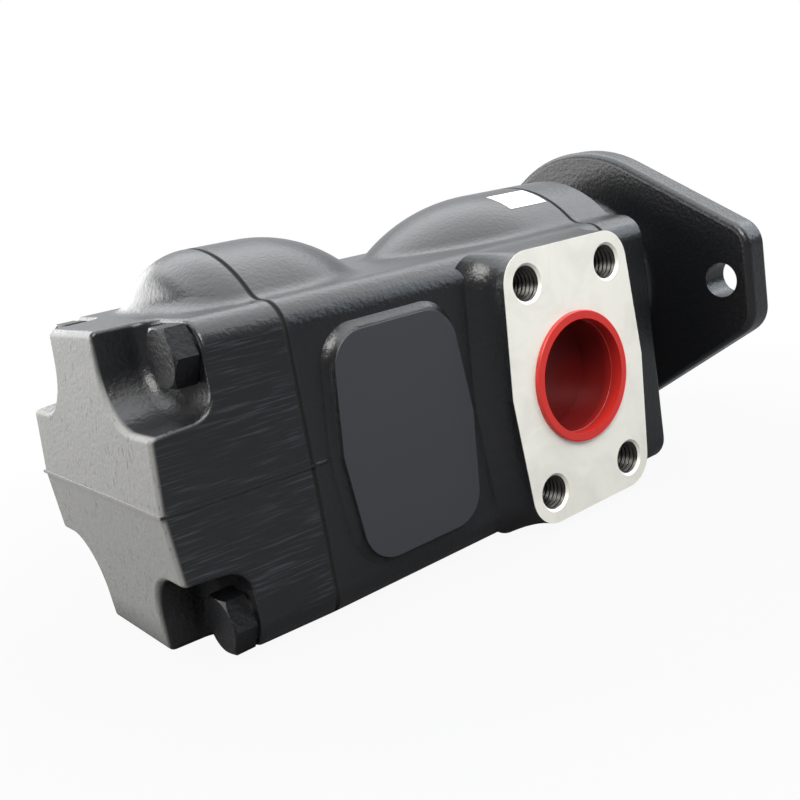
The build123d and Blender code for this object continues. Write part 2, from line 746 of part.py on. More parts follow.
circlip(x_bearing_rear - circlip_thickness, bearing_outside / 2 - circlip_depth,
        bearing_outside / 2 + circlip_depth, "bearing_retaining_ring")
circlip(x_bearing_rear - circlip_thickness, bearing_bore / 2 - circlip_depth / 2,
        bearing_bore / 2 + circlip_depth / 2, "shaft_retaining_ring")

with BuildPart() as rear_bush:
    with BuildSketch(Plane.YZ.offset(x_bush)):
        Circle(bush_radius)
        Circle(journal_radius + journal_gap, mode=Mode.SUBTRACT)
    extrude(amount=-bush_length)
    chamfer(rear_bush.edges(), race_chamfer / 2)
finish(rear_bush, "rear_bush")

# ================================ Shaft seal ================================
x_seal = pilot_height - seal_recess
x_lip = x_seal - seal_width * seal_lip_place
x_lip_end = x_seal - seal_width * seal_lip_end
lip = seal_land_radius + lip_gap
with BuildPart() as shaft_seal:
    with BuildSketch(Plane.XZ):
        with BuildLine():
            Polyline(
                (x_seal, seal_radius), (x_seal, lip + 2.5 * seal_case), (x_lip, lip),
                (x_lip - seal_width * seal_lip_width, lip), (x_lip_end, lip + seal_case),
                (x_lip_end, lip + 2 * seal_case), (x_seal - seal_case, lip + 4 * seal_case),
                (x_seal - seal_case, seal_radius - seal_case),
                (x_seal - seal_width, seal_radius - seal_case), (x_seal - seal_width, seal_radius),
                close=True,
            )
        make_face()
    revolve(axis=Axis.X)
finish(shaft_seal, "shaft_seal")

# ================================ Cartridges ================================


def plate(x_low, thickness, label, grooved):
    """Disc beside a rotor, with four kidney ports; the pressure plate also has a seal groove."""
    with BuildPart() as disc:
        with BuildSketch(Plane.YZ.offset(x_low)):
            Circle(cartridge_radius)
            Circle(spline_tip_radius + plate_bore_gap, mode=Mode.SUBTRACT)
            for turn in range(kidney_count):
                middle = kidney_start + 360 / kidney_count * turn
                with BuildLine(mode=Mode.PRIVATE):
                    arc = CenterArc((0, 0), kidney_radius - kidney_width / 2,
                                    middle - kidney_sweep / 2, kidney_sweep)
                SlotArc(arc, kidney_width, mode=Mode.SUBTRACT)
            for y in (-dowel_circle, dowel_circle):
                with Locations((y, 0)):
                    Circle(screw_radius, mode=Mode.SUBTRACT)
                with Locations((0, y)):
                    Circle(dowel_radius, mode=Mode.SUBTRACT)
        extrude(amount=thickness)
        if grooved:
            with BuildSketch(Plane.YZ.offset(x_low + thickness / 2 - ring_width / 2)):
                Circle(cartridge_radius)
                Circle(cartridge_radius - ring_depth, mode=Mode.SUBTRACT)
            extrude(amount=ring_width, mode=Mode.SUBTRACT)
    finish(disc, label)


def seal_ring(x_middle, label):
    """Ring in a groove of the cartridge's or spigot's rim."""
    with BuildPart() as ring:
        with BuildSketch(Plane.YZ.offset(x_middle - ring_width / 2 + ring_gap)):
            Circle(bore_radius - ring_gap)
            Circle(cartridge_radius - ring_depth + ring_gap, mode=Mode.SUBTRACT)
        extrude(amount=ring_width - 2 * ring_gap)
    finish(ring, label)


def cam_ring(x_low, label):
    """Ring whose track swells twice a turn from the minor radius by the vanes' stroke."""
    track = []
    for n in range(cam_points):
        angle = 2 * pi * n / cam_points
        radius = cam_minor_radius + cam_stroke * (1 - cos(2 * angle)) / 2
        track.append((radius * cos(angle), radius * sin(angle)))
    with BuildPart() as ring:
        with BuildSketch(Plane.YZ.offset(x_low)):
            Circle(cartridge_radius)
            with BuildLine():
                Spline(*track, periodic=True)
            make_face(mode=Mode.SUBTRACT)
            for y in (-dowel_circle, dowel_circle):
                with Locations((y, 0)):
                    Circle(screw_radius, mode=Mode.SUBTRACT)
                with Locations((0, y)):
                    Circle(dowel_radius, mode=Mode.SUBTRACT)
        extrude(amount=cam_ring_width)
    finish(ring, label)


def rotor_set(x_low, name):
    """Splined rotor with its slots, and the vanes drawn in to the minor radius."""
    x_start = x_low + rotor_side_gap
    width = cam_ring_width - 2 * rotor_side_gap
    vane_middle = rotor_radius - vane_height / 2
    with BuildPart() as rotor:
        with BuildSketch(Plane.YZ.offset(x_start)):
            Circle(rotor_radius)
            spline_profile(spline_gap, Mode.SUBTRACT)
            with PolarLocations(vane_middle, vane_count):
                Rectangle(vane_height + 2, vane_thickness + 2 * vane_gap, mode=Mode.SUBTRACT)
            with PolarLocations(slot_root, vane_count):
                Circle(slot_root_radius, mode=Mode.SUBTRACT)
        extrude(amount=width)
    finish(rotor, f"{name}_rotor")

    with BuildPart() as vanes:
        with BuildSketch(Plane.YZ.offset(x_start)):
            with PolarLocations(vane_middle, vane_count):
                Rectangle(vane_height, vane_thickness)
        extrude(amount=width)
        tips = [e for e in vanes.edges().filter_by(Axis.X)
                if sqrt(e.center().Y**2 + e.center().Z**2) > vane_middle]
        chamfer(tips, vane_thickness / 4)
    finish(vanes, f"{name}_vanes")


def cartridge_fasteners(x_low, x_high, name):
    """Two dowels and two screws that hold one cartridge together."""
    with BuildPart() as dowels:
        with BuildSketch(Plane.YZ.offset(x_low)):
            with Locations((0, -dowel_circle), (0, dowel_circle)):
                Circle(dowel_radius)
        extrude(amount=x_high - x_low)
    finish(dowels, f"{name}_dowels")
    with BuildPart() as screws:
        with BuildSketch(Plane.YZ.offset(x_low)):
            with Locations((-dowel_circle, 0), (dowel_circle, 0)):
                Circle(screw_radius)
        extrude(amount=x_high - x_low)
    finish(screws, f"{name}_screws")


def cartridge(name, x_web, way):
    """One complete cartridge, stacked from the housing's web towards its joint."""
    thicknesses = (side_plate_thickness, cam_ring_width, pressure_plate_thickness)
    starts = []
    x = x_web
    for thickness in thicknesses:
        starts.append(min(x, x + way * thickness))
        x += way * thickness
    plate(starts[0], side_plate_thickness, f"{name}_side_plate", False)
    cam_ring(starts[1], f"{name}_cam_ring")
    plate(starts[2], pressure_plate_thickness, f"{name}_pressure_plate", True)
    seal_ring(starts[2] + pressure_plate_thickness / 2, f"{name}_plate_seal")
    rotor_set(starts[1], name)
    cartridge_fasteners(min(x_web, x), max(x_web, x), name)


cartridge("front", x_front_web, 1)
cartridge("rear", x_rear_web, -1)
seal_ring(x_front_joint - spigot_length / 2, "front_joint_seal")
seal_ring(x_rear_joint + spigot_length / 2, "rear_joint_seal")

# ================================ Shipping plugs ================================


def plug(face, bore, depth, label):
    """Cup with a flat rim that closes a port; face is the plane of the port."""
    outer = bore / 2 - plug_gap
    with BuildPart() as cup:
        with BuildSketch(face):
            Circle(outer)
        extrude(amount=-depth)
        with BuildSketch(face):
            Circle(outer + plug_rim_width)
        extrude(amount=plug_rim_height)
        ends = cup.faces().filter_by(Axis.Y).sort_by(Axis.Y)
        fillet(ends[0].edges() + ends[-1].edges(), plug_edge_round)
        with BuildSketch(face.offset(plug_rim_height)):
            Circle(outer - plug_wall)
        extrude(amount=-(depth + plug_rim_height - plug_wall), mode=Mode.SUBTRACT)
    finish(cup, label)


plug(near_plane(inlet_face).shift_origin((inlet_x, -inlet_face, parting_z)), inlet_bore,
     inlet_plug_depth, "inlet_plug")
for number, x in enumerate(outlet_x, start=1):
    plug(Plane(origin=(x, outlet_face, parting_z), x_dir=(-1, 0, 0), z_dir=(0, 1, 0)),
         outlet_bore, outlet_plug_depth, f"outlet_plug_{number}")
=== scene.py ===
"""Finishes for a tandem hydraulic vane pump: cast and painted covers, machined port faces,
plastic shipping plugs, threads, casting flash, a blank sticker and the studio around them.

Every length is in metres. +X runs out along the shaft and +Z is up.
"""

import json
from math import cos, pi, radians, sin

import bpy
import numpy as np
from bpy.props import FloatProperty, FloatVectorProperty, PointerProperty
from mathutils import Matrix, Vector


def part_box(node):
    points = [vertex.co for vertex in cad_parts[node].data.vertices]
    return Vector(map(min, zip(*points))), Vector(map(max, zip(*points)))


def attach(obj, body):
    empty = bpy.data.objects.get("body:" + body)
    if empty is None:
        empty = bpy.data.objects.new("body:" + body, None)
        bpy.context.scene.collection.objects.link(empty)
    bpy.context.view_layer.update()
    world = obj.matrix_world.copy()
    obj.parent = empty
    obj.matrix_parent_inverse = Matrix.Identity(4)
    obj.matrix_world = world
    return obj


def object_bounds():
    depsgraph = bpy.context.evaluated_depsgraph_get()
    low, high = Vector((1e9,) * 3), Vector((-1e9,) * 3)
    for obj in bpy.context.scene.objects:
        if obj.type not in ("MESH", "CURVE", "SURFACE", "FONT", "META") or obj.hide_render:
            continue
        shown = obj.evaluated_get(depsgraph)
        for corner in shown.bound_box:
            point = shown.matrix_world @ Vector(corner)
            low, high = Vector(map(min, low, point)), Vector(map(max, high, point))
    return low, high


bl_info = {
    "name": "Vane Pump Finishes",
    "version": (1, 0, 0),
    "blender": (4, 5, 0),
    "location": "View3D > Sidebar > Vane Pump",
    "description": "Adds the finishes, threads, plugs' mouldings, sticker and studio of a vane pump",
    "category": "Object",
}

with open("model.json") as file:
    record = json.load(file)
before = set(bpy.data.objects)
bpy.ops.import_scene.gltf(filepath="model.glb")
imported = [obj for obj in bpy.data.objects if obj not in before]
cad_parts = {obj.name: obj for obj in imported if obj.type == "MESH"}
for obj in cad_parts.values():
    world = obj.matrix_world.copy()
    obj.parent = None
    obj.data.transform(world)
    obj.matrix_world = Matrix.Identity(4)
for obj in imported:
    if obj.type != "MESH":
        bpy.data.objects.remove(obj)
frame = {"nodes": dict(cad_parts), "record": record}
CAD_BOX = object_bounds()

MM = 0.001

# The castings: the end cap's parting ridge, and how far its sides draw in towards the rear.
RIDGE = 0.35 * MM
SIDE_TAPER = 3.0 * MM
MOUNTING_FACE_X = 0.0
PAD_FACE_Y = -58.0 * MM
PAD_FRONT_X = -140 * MM
INLET_BORE_RADIUS = 23 * MM
OUTLET_BORE_RADIUS = 12.7 * MM
BORES_FROM_Y = 30 * MM

# The ports' threads, whose teeth are a share of the pitch.
THREAD_START = 1.0 * MM
THREAD_DEPTH = 14.5 * MM
TOOTH_SHARE = 0.54

# The plugs: rim and wall as in the solids, a bead round the wall, and a gate mark on the floor.
PLUG_RIM = 1.6 * MM
PLUG_WALL = 1.6 * MM
BEAD = 0.3 * MM
BEAD_DEPTH = 5.0 * MM
GATE_RADIUS = 1.5 * MM
GATE_HEIGHT = 0.7 * MM

# The flash left along the parting plane.
FLASH_FOOT = 1.8 * MM
FLASH_SUNK = 0.3 * MM
FLASH_WAVES = (310.0, 730.0, 1610.0)


def mount(name):
    """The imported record's mount of that name."""
    for entry in frame["record"]["mounts"]:
        if entry["name"] == name:
            return entry
    raise RuntimeError(f"The record has no mount named {name}")


def node_box(name):
    """Lowest and highest corner of a CAD node as numpy arrays."""
    low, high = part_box(name)
    return np.array(low), np.array(high)


def hole_spots(name):
    """Centres of a port's four threaded holes, in its X and Z directions."""
    entry = mount(name)
    dims = entry["dims"]
    x, y, z = entry["pos_m"]
    half_x = dims["spacing_x_mm"] * MM / 2
    half_z = dims["spacing_y_mm"] * MM / 2
    return [(x + sx * half_x, y, z + sz * half_z) for sx in (-1, 1) for sz in (-1, 1)]


HOUSING_LOW, HOUSING_HIGH = node_box("housing")
END_LOW, END_HIGH = node_box("end_cap")
INLET = mount("inlet_bolts")
OUTLETS = (mount("outlet_1_bolts"), mount("outlet_2_bolts"))
PARTING_Z = INLET["pos_m"][2]
INLET_X = INLET["pos_m"][0]
INLET_FACE = HOUSING_LOW[1]
OUTLET_FACE = HOUSING_HIGH[1]
JOINT_X = HOUSING_LOW[0]
FRONT_X = HOUSING_HIGH[0]
HALF_WIDTH = END_HIGH[1] - RIDGE
END_LENGTH = JOINT_X - END_LOW[0]
INLET_HOLE_RADIUS = INLET["dims"]["hole_r_mm"] * MM
OUTLET_HOLE_RADIUS = OUTLETS[0]["dims"]["hole_r_mm"] * MM


# ---------------------------------------------------------------- settings


class CastingSettings(bpy.types.PropertyGroup):
    """Paint and surface of the black castings."""

    paint: FloatVectorProperty(
        name="Paint", description="Colour of the casting paint", subtype="COLOR", size=3,
        min=0.0, max=1.0, default=(0.0065, 0.0068, 0.0078),
    )
    peel_size: FloatProperty(
        name="Peel size", description="Distance between two bumps of the sprayed paint",
        default=1.5 * MM, min=0.2 * MM, unit="LENGTH",
    )
    peel_height: FloatProperty(
        name="Peel height", description="Height of the sprayed paint's bumps",
        default=0.16 * MM, min=0.0, unit="LENGTH",
    )
    grain_height: FloatProperty(
        name="Sand grain height", description="Height of the sand grain under the paint",
        default=0.02 * MM, min=0.0, unit="LENGTH",
    )
    gloss: FloatProperty(
        name="Roughness", description="Roughness of the paint's surface", default=0.32, min=0.0, max=1.0,
    )
    pad_paint: FloatVectorProperty(
        name="Pad paint", description="Colour of the blank pad's matt face", subtype="COLOR", size=3,
        min=0.0, max=1.0, default=(0.026, 0.027, 0.031),
    )


class PortSettings(bpy.types.PropertyGroup):
    """Machined port faces, their threads and the plugs."""

    thread_pitch: FloatProperty(
        name="Thread pitch", description="Pitch of the inlet port's threads",
        default=1.95 * MM, min=0.5 * MM, unit="LENGTH",
    )
    outlet_pitch: FloatProperty(
        name="Outlet thread pitch", description="Pitch of the outlet ports' threads",
        default=1.5 * MM, min=0.5 * MM, unit="LENGTH",
    )
    plug_colour: FloatVectorProperty(
        name="Plug colour", description="Colour of the shipping plugs", subtype="COLOR", size=3,
        min=0.0, max=1.0, default=(0.52, 0.020, 0.014),
    )


class StickerSettings(bpy.types.PropertyGroup):
    """Blank sticker on the front barrel."""

    length: FloatProperty(
        name="Length", description="Sticker's length along the shaft", default=20.5 * MM, unit="LENGTH",
    )
    width: FloatProperty(
        name="Width", description="Sticker's width round the barrel", default=14.1 * MM, unit="LENGTH",
    )
    setback: FloatProperty(
        name="Setback", description="Gap between the sticker and the front joint",
        default=2.2 * MM, unit="LENGTH",
    )
    angle: FloatProperty(
        name="Angle", description="Sticker's middle, round from the top towards the inlet",
        default=radians(24), subtype="ANGLE",
    )


class StudioSettings(bpy.types.PropertyGroup):
    """Camera, lamps and floor."""

    azimuth: FloatProperty(
        name="Azimuth", description="Camera's direction round the pump", default=radians(-36.57),
        subtype="ANGLE",
    )
    elevation: FloatProperty(
        name="Elevation", description="Camera's height above the horizon", default=radians(12.76),
        subtype="ANGLE",
    )
    roll: FloatProperty(
        name="Roll", description="Camera's tilt about its own line of sight", default=radians(-9.75),
        subtype="ANGLE",
    )
    eye: FloatVectorProperty(
        name="Eye", description="Camera's place", size=3, subtype="TRANSLATION",
        default=(-0.35257, -0.29878, 0.05999),
    )
    lens: FloatProperty(
        name="Lens", description="Focal length on a 36 mm sensor, in millimetres", default=42.46,
    )
    world_level: FloatProperty(
        name="Sky level", description="Strength of the soft light from all round", default=0.55,
        min=0.0,
    )


# ---------------------------------------------------------------- meshes


def make_object(name, vertices, faces, body, material, smooth=True):
    """Object from points and faces, riding on a body and material."""
    mesh = bpy.data.meshes.new(name)
    mesh.from_pydata(np.asarray(vertices, float).tolist(), [], faces)
    mesh.validate()
    mesh.polygons.foreach_set("use_smooth", np.full(len(mesh.polygons), smooth))
    mesh.update()
    made = bpy.data.objects.new(name, mesh)
    bpy.context.scene.collection.objects.link(made)
    mesh.materials.append(material)
    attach(made, body)
    return made


def grid_faces(rows, columns, close_rows=False, close_columns=True):
    """Quads of a grid of rows x columns points, joined round where a direction is closed."""
    r = np.arange(rows if close_rows else rows - 1)
    c = np.arange(columns if close_columns else columns - 1)
    r0, c0 = np.meshgrid(r, c, indexing="ij")
    r1 = (r0 + 1) % rows
    c1 = (c0 + 1) % columns
    quads = np.stack([r0 * columns + c0, r0 * columns + c1, r1 * columns + c1, r1 * columns + c0], -1)
    return quads.reshape(-1, 4).tolist()


# ---------------------------------------------------------------- shader groups


def new_group(name, inputs, outputs):
    """Empty shader node group with named sockets; returns it with its two end nodes."""
    group = bpy.data.node_groups.new(name, "ShaderNodeTree")
    for label, kind, default in inputs:
        socket = group.interface.new_socket(name=label, in_out="INPUT", socket_type=kind)
        if default is not None:
            socket.default_value = default
    for label, kind in outputs:
        group.interface.new_socket(name=label, in_out="OUTPUT", socket_type=kind)
    return group, group.nodes.new("NodeGroupInput"), group.nodes.new("NodeGroupOutput")


def wire(tree, source, target):
    """Links an output socket to an input socket."""
    tree.links.new(source, target)


def feed(tree, socket, value):
    """Gives an input a linked output, a colour or a number."""
    if isinstance(value, bpy.types.NodeSocket):
        wire(tree, value, socket)
    elif isinstance(value, (tuple, list)):
        socket.default_value = (*value, 1.0)
    else:
        socket.default_value = value


def math_node(tree, operation, a, b=None):
    """Math node whose inputs are sockets or numbers; returns its output."""
    node = tree.nodes.new("ShaderNodeMath")
    node.operation = operation
    feed(tree, node.inputs[0], a)
    if b is not None:
        feed(tree, node.inputs[1], b)
    return node.outputs[0]


def noise_node(tree, vector, scale, detail=2.0, roughness=0.5, distortion=0.0):
    """Noise texture on a vector; returns its value output."""
    node = tree.nodes.new("ShaderNodeTexNoise")
    feed(tree, node.inputs["Scale"], scale)
    node.inputs["Detail"].default_value = detail
    node.inputs["Roughness"].default_value = roughness
    node.inputs["Distortion"].default_value = distortion
    wire(tree, vector, node.inputs["Vector"])
    return node.outputs["Fac"]


def stretched(tree, vector, scale):
    """Vector scaled by three factors, to stretch a pattern along an axis."""
    node = tree.nodes.new("ShaderNodeMapping")
    node.inputs["Scale"].default_value = scale
    wire(tree, vector, node.inputs["Vector"])
    return node.outputs["Vector"]


def between(tree, value, low, high):
    """Value mapped from low..high to 0..1 and clamped; high may be below low."""
    node = tree.nodes.new("ShaderNodeMapRange")
    node.clamp = True
    node.inputs["From Min"].default_value = low
    node.inputs["From Max"].default_value = high
    wire(tree, value, node.inputs["Value"])
    return node.outputs["Result"]


def mix_colours(tree, factor, first, second):
    """Mix of two colours; each may be a socket or an RGB triple."""
    node = tree.nodes.new("ShaderNodeMix")
    node.data_type = "RGBA"
    feed(tree, node.inputs["Factor"], factor)
    feed(tree, node.inputs[6], first)
    feed(tree, node.inputs[7], second)
    return node.outputs[2]


def mix_values(tree, factor, first, second):
    """Linear mix of two numbers or sockets."""
    node = tree.nodes.new("ShaderNodeMix")
    node.data_type = "FLOAT"
    feed(tree, node.inputs["Factor"], factor)
    feed(tree, node.inputs[2], first)
    feed(tree, node.inputs[3], second)
    return node.outputs[0]


def new_material(name):
    """Material with an empty tree holding a Principled shader; returns both and the coordinates."""
    material = bpy.data.materials.new(name)
    material.use_nodes = True
    tree = material.node_tree
    tree.nodes.clear()
    output = tree.nodes.new("ShaderNodeOutputMaterial")
    shader = tree.nodes.new("ShaderNodeBsdfPrincipled")
    wire(tree, shader.outputs["BSDF"], output.inputs["Surface"])
    coordinates = tree.nodes.new("ShaderNodeTexCoord")
    return material, tree, shader, coordinates.outputs["Object"]


def cast_paint_group():
    """Relief of sprayed paint over sand casting.

    The height adds three noises: broad lumps of the casting, the paint's orange peel and the
    sand's grain.
    """
    group, ends_in, ends_out = new_group(
        "Cast paint",
        [("Vector", "NodeSocketVector", None), ("Peel scale", "NodeSocketFloat", 380.0),
         ("Peel height", "NodeSocketFloat", 0.0001), ("Grain height", "NodeSocketFloat", 0.00005)],
        [("Height", "NodeSocketFloat")],
    )
    sockets = ends_in.outputs
    vector = sockets["Vector"]
    peel = noise_node(group, vector, sockets["Peel scale"], 2.0, 0.45)
    grain = noise_node(group, vector, 1500.0, 2.0, 0.6)
    lumps = noise_node(group, vector, 120.0, 1.0, 0.4)
    height = math_node(group, "ADD", math_node(group, "MULTIPLY", peel, sockets["Peel height"]),
                       math_node(group, "MULTIPLY", grain, sockets["Grain height"]))
    height = math_node(group, "ADD", height, math_node(group, "MULTIPLY", lumps, 0.10 * MM))
    wire(group, height, ends_out.inputs["Height"])
    return group


def machined_group():
    """Fly-cut steel or iron: fine arcs of the cutter, faint stains and pits."""
    group, ends_in, ends_out = new_group(
        "Machined iron",
        [("Vector", "NodeSocketVector", None), ("Bright", "NodeSocketColor", (0.86, 0.84, 0.76, 1)),
         ("Stain", "NodeSocketColor", (0.60, 0.58, 0.53, 1))],
        [("Color", "NodeSocketColor"), ("Roughness", "NodeSocketFloat"), ("Height", "NodeSocketFloat")],
    )
    vector = ends_in.outputs["Vector"]
    cuts = noise_node(group, stretched(group, vector, (60.0, 900.0, 2600.0)), 1.0, 3.0, 0.6)
    stains = noise_node(group, vector, 55.0, 4.0, 0.55, 0.8)
    pits = noise_node(group, vector, 900.0, 2.0, 0.5)
    mottled = between(group, stains, 0.42, 0.75)
    base = mix_colours(group, math_node(group, "MULTIPLY", mottled, 0.45),
                       ends_in.outputs["Bright"], ends_in.outputs["Stain"])
    dotted = between(group, pits, 0.76, 0.82)
    wire(group, mix_colours(group, math_node(group, "MULTIPLY", dotted, 0.3), base, (0.30, 0.29, 0.27)),
         ends_out.inputs["Color"])
    wire(group, math_node(group, "ADD", 0.42, math_node(group, "MULTIPLY", cuts, 0.22)),
         ends_out.inputs["Roughness"])
    wire(group, math_node(group, "MULTIPLY", cuts, 0.01 * MM), ends_out.inputs["Height"])
    return group


def use_group(tree, group, **values):
    """Places a node group; values are sockets or numbers by input name."""
    node = tree.nodes.new("ShaderNodeGroup")
    node.node_tree = group
    for label, value in values.items():
        feed(tree, node.inputs[label.replace("_", " ")], value)
    return node


def bump(tree, height):
    """Bump node over a height in metres; returns its normal."""
    node = tree.nodes.new("ShaderNodeBump")
    node.inputs["Strength"].default_value = 1.0
    node.inputs["Distance"].default_value = 1.0
    wire(tree, height, node.inputs["Height"])
    return node.outputs["Normal"]


def split_axes(tree, vector):
    """X, Y and Z outputs of a vector."""
    node = tree.nodes.new("ShaderNodeSeparateXYZ")
    wire(tree, vector, node.inputs[0])
    return node.outputs


def distance_to_line(tree, first, second, a, b):
    """Distance of a point from a line along the third axis, at (a, b) in the other two."""
    along_first = math_node(tree, "POWER", math_node(tree, "SUBTRACT", first, a), 2.0)
    along_second = math_node(tree, "POWER", math_node(tree, "SUBTRACT", second, b), 2.0)
    return math_node(tree, "SQRT", math_node(tree, "ADD", along_first, along_second))


def near_plane(tree, along, place, full, fade):
    """1 within full of a plane across an axis, and 0 beyond fade from it."""
    away = math_node(tree, "ABSOLUTE", math_node(tree, "SUBTRACT", along, place))
    return between(tree, away, fade, full)


# ---------------------------------------------------------------- materials


def casting_material(name, groups, machined=None, ground=None, flat=None, rear=None, shine=0.5):
    """Black painted casting.

    machined(tree, axes) gives a mask of bare cut metal, ground(tree, axes) one of a flat ground
    before painting, flat(tree, axes) one of smooth matt paint and rear(tree, axes) one of the
    pitted rear face, which gets a painted sheen of lighter grey and painted shade in its pits.
    """
    settings = bpy.context.scene.pump_castings
    material, tree, shader, vector = new_material(name)
    axes = split_axes(tree, vector)
    paint = use_group(tree, groups["paint"], Vector=vector, Peel_scale=1.0 / settings.peel_size,
                      Peel_height=settings.peel_height, Grain_height=settings.grain_height)
    colour = tuple(settings.paint)
    rough = settings.gloss
    height = paint.outputs["Height"]
    if ground is not None:
        mask = ground(tree, axes)
        lines = noise_node(tree, stretched(tree, vector, (55.0, 55.0, 1150.0)), 1.0, 2.5, 0.55)
        patches = between(tree, noise_node(tree, vector, 26.0, 2.0, 0.5), 0.36, 0.60)
        scratch = math_node(tree, "MULTIPLY", between(tree, lines, 0.52, 0.70), patches)
        ground_height = math_node(tree, "ADD", math_node(tree, "MULTIPLY", lines, 0.07 * MM),
                                  math_node(tree, "MULTIPLY", height, 0.45))
        height = mix_values(tree, mask, height, ground_height)
        streak = math_node(tree, "MULTIPLY", math_node(tree, "MULTIPLY", scratch, mask), 0.62)
        colour = mix_colours(tree, streak, colour, (0.060, 0.063, 0.070))
        rough = mix_values(tree, mask, rough, 0.36)
    if rear is not None:
        mask = rear(tree, axes)
        specks = noise_node(tree, stretched(tree, vector, (900.0, 900.0, 210.0)), 1.0, 2.0, 0.6)
        pits_and_painted_shade = math_node(tree, "MULTIPLY", between(tree, specks, 0.60, 0.74), mask)
        height = math_node(tree, "SUBTRACT", height, math_node(tree, "MULTIPLY", pits_and_painted_shade, 0.12 * MM))
        rough = mix_values(tree, mask, rough, 0.62)
        # Painted sheen: the black rear face is painted a light grey where the lamps light it; its pits
        # are painted back dark as painted shade.
        colour = mix_colours(tree, mask, colour, (0.170, 0.169, 0.160))
        colour = mix_colours(tree, math_node(tree, "MULTIPLY", pits_and_painted_shade, 0.7), colour, (0.01, 0.01, 0.01))
    groove = joint_groove(tree, axes)
    colour = mix_colours(tree, groove, colour, (0.001, 0.001, 0.001))
    rough = mix_values(tree, groove, rough, 0.9)
    if flat is not None:
        mask = flat(tree, axes)
        height = mix_values(tree, mask, height, math_node(tree, "MULTIPLY", height, 0.06))
        rough = mix_values(tree, mask, rough, 0.55)
        colour = mix_colours(tree, mask, colour, tuple(settings.pad_paint))
    if machined is not None:
        mask = machined(tree, axes)
        metal = use_group(tree, groups["machined"], Vector=vector)
        colour = mix_colours(tree, mask, colour, metal.outputs["Color"])
        rough = mix_values(tree, mask, rough, metal.outputs["Roughness"])
        height = mix_values(tree, mask, height, metal.outputs["Height"])
        wire(tree, math_node(tree, "MULTIPLY", mask, 0.30), shader.inputs["Metallic"])
    wire(tree, colour, shader.inputs["Base Color"])
    wire(tree, rough, shader.inputs["Roughness"])
    wire(tree, bump(tree, height), shader.inputs["Normal"])
    shader.inputs["Specular IOR Level"].default_value = shine
    return material


def joint_groove(tree, axes):
    """Dirt-dark grooves at the two joints, and the ground-off ridge on the end cap's sides."""
    front = near_plane(tree, axes[0], FRONT_X, 0.75 * MM, 1.15 * MM)
    rear = near_plane(tree, axes[0], JOINT_X, 0.75 * MM, 1.15 * MM)
    ridge = near_plane(tree, axes[2], PARTING_Z, 0.5 * MM, 0.8 * MM)
    behind_joint = math_node(tree, "LESS_THAN", axes[0], JOINT_X)
    off_rear_face = math_node(tree, "GREATER_THAN", axes[0], END_LOW[0] + 2.5 * MM)
    on_sides = math_node(tree, "MULTIPLY", behind_joint, off_rear_face)
    ground_off = math_node(tree, "MULTIPLY", math_node(tree, "MULTIPLY", ridge, on_sides), 0.8)
    return math_node(tree, "MAXIMUM", math_node(tree, "MAXIMUM", front, rear), ground_off)


def housing_machined(tree, axes):
    """Bare metal: the inlet's face, the outlets' faces and all that lies inside their holes."""
    near = between(tree, axes[1], INLET_FACE + 0.25 * MM, INLET_FACE + 0.05 * MM)
    far = between(tree, axes[1], OUTLET_FACE - 0.25 * MM, OUTLET_FACE - 0.05 * MM)
    mask = math_node(tree, "MAXIMUM", near, far)
    holes = [(x, z, INLET_HOLE_RADIUS, -1) for x, _, z in hole_spots("inlet_bolts")]
    holes.append((INLET_X, PARTING_Z, INLET_BORE_RADIUS, -1))
    for name in ("outlet_1_bolts", "outlet_2_bolts"):
        holes += [(x, z, OUTLET_HOLE_RADIUS, 1) for x, _, z in hole_spots(name)]
        holes.append((mount(name)["pos_m"][0], PARTING_Z, OUTLET_BORE_RADIUS, 1))
    for x, z, radius, side in holes:
        inside = math_node(tree, "LESS_THAN", distance_to_line(tree, axes[0], axes[2], x, z),
                           radius + 1.0 * MM)
        outwards = math_node(tree, "MULTIPLY", axes[1], float(side))
        outer = math_node(tree, "GREATER_THAN", outwards, BORES_FROM_Y)
        mask = math_node(tree, "MAXIMUM", mask, math_node(tree, "MULTIPLY", inside, outer))
    return mask


def pad_flat(tree, axes):
    """Smooth matt face of the blank pad."""
    front = between(tree, axes[1], PAD_FACE_Y + 0.3 * MM, PAD_FACE_Y + 0.05 * MM)
    return math_node(tree, "MULTIPLY", front, math_node(tree, "LESS_THAN", axes[0], PAD_FRONT_X))


def end_ground(tree, axes):
    """Ground flats of the end cap's sides, which draw in towards the rear."""
    slope = SIDE_TAPER / (END_LENGTH - RIDGE)
    drawn = math_node(tree, "MULTIPLY", math_node(tree, "SUBTRACT", JOINT_X, axes[0]), slope)
    level = math_node(tree, "ADD", math_node(tree, "ABSOLUTE", axes[1]), drawn)
    return between(tree, level, HALF_WIDTH - 0.6 * MM, HALF_WIDTH - 0.1 * MM)


def end_rear_and_painted_sheen(tree, axes):
    """Rear face of the end cap, which leans from the parting plane by the mould's draft and is painted
    lighter as a painted sheen.
    """
    shallow = between(tree, axes[0], END_LOW[0] + 4.6 * MM, END_LOW[0] + 3.2 * MM)
    return math_node(tree, "MULTIPLY", shallow,
                     math_node(tree, "SUBTRACT", 1.0, end_ground(tree, axes)))


def cap_machined(tree, axes):
    """Bare metal on the mounting face, the pilot and in the seal's bore."""
    return between(tree, axes[0], MOUNTING_FACE_X - 0.3 * MM, MOUNTING_FACE_X - 0.1 * MM)


